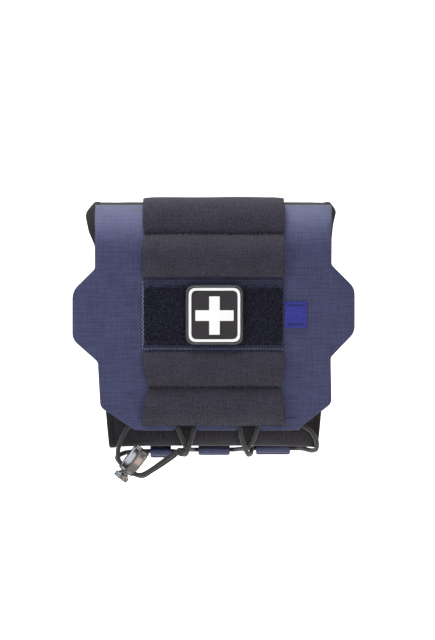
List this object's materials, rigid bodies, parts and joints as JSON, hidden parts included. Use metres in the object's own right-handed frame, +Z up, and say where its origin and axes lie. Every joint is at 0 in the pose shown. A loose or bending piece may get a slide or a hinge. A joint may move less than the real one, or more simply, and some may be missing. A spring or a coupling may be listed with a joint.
{
  "type": "first-aid pouch",
  "caption": "Soft first-aid pouch: winged front panel with elastic channels, hook-and-loop patch, sliding padded roll, laced shock cord with lock and rear straps.",
  "frame": {"origin": "centre of the back panel's rear face, midway between the two attachment straps", "axes": "+Z up as worn, +Y out of the back towards the wearer, -Y out of the front, +X to the right seen from the front"},
  "size_m": [0.1786, 0.0741, 0.1813],
  "materials": {
    "navy_laminate": "coarse woven laminate, satin",
    "elastic": "ribbed elastic, matt",
    "loop_pile": "loop pile, matt",
    "black_fabric": "plain woven nylon, matt",
    "soft_pack": "soft wrapped pack, matt",
    "patch_rubber": "moulded soft rubber, satin",
    "patch_white": "moulded soft rubber, satin",
    "blue_label": "folded woven label",
    "lock_plastic": "glossy black",
    "snap_metal": "plated steel",
    "cord_sheath": "braided sheath"
  },
  "bodies": {
    "carrier": {"back_panel": "navy_laminate", "back_tunnel_left": "navy_laminate", "back_tunnel_centre": "navy_laminate", "back_tunnel_right": "navy_laminate", "elastic_tail": "elastic", "strap_anchor_left": "black_fabric", "strap_anchor_right": "black_fabric", "snap_stud_left": "snap_metal", "snap_stud_right": "snap_metal"},
    "strap_body_left": {"strap_left": "black_fabric", "snap_socket_left": "snap_metal"},
    "strap_body_right": {"strap_right": "black_fabric", "snap_socket_right": "snap_metal"},
    "front_cover": {"front_panel": "navy_laminate", "elastic_upper": "elastic", "elastic_lower": "elastic", "loop_field": "loop_pile", "side_label": "blue_label", "front_tunnel_left": "navy_laminate", "front_tunnel_centre": "navy_laminate", "front_tunnel_right": "navy_laminate", "shock_cord": "cord_sheath", "cord_end_knot": "cord_sheath"},
    "patch": {"patch_hook_backing": "black_fabric", "patch_base": "patch_rubber", "patch_border": "patch_white", "patch_cross": "patch_white"},
    "roll": {"roll_wrap": "black_fabric", "roll_liner": "black_fabric", "roll_pack_upper": "soft_pack", "roll_pack_lower": "soft_pack", "roll_pack_rear": "soft_pack", "pull_tab_left": "black_fabric", "pull_tab_right": "black_fabric"},
    "cord_lock": {"lock_barrel": "lock_plastic", "lock_spring": "snap_metal"},
    "lock_plunger": {"lock_button": "lock_plastic"}
  },
  "joints": [
    {"name": "cover_fold", "type": "hinge", "parent": "carrier", "child": "front_cover", "pos_m": [0, 0.0012, 0.0812], "axis": [-1, 0, 0], "range_deg": [0, 12], "stiffness_Nm_per_rad": 4, "springref_deg": -5.73, "deforming": ["shock_cord"]},
    {"name": "roll_pull", "type": "slide", "parent": "carrier", "child": "roll", "axis": [1, 0, 0], "range_m": [-0.17, 0.17]},
    {"name": "patch_pull", "type": "slide", "parent": "front_cover", "child": "patch", "axis": [0, -1, 0], "range_m": [0, 0.03]},
    {"name": "lock_slide", "type": "slide", "parent": "front_cover", "child": "cord_lock", "axis": [0.788, 0, -0.6157], "range_m": [-0.003, 0.008], "deforming": ["shock_cord"]},
    {"name": "lock_press", "type": "slide", "parent": "cord_lock", "child": "lock_plunger", "axis": [0.6157, 0, 0.788], "range_m": [0, 0.002], "stiffness_N_per_m": 900, "springref_m": -0.002, "deforming": ["lock_spring"]},
    {"name": "strap_swing_left", "type": "hinge", "parent": "carrier", "child": "strap_body_left", "pos_m": [-0.03, 0.0012, 0.044], "axis": [1, 0, 0], "range_deg": [0, 110]},
    {"name": "strap_swing_right", "type": "hinge", "parent": "carrier", "child": "strap_body_right", "pos_m": [0.03, 0.0012, 0.044], "axis": [1, 0, 0], "range_deg": [0, 110]}
  ]
}
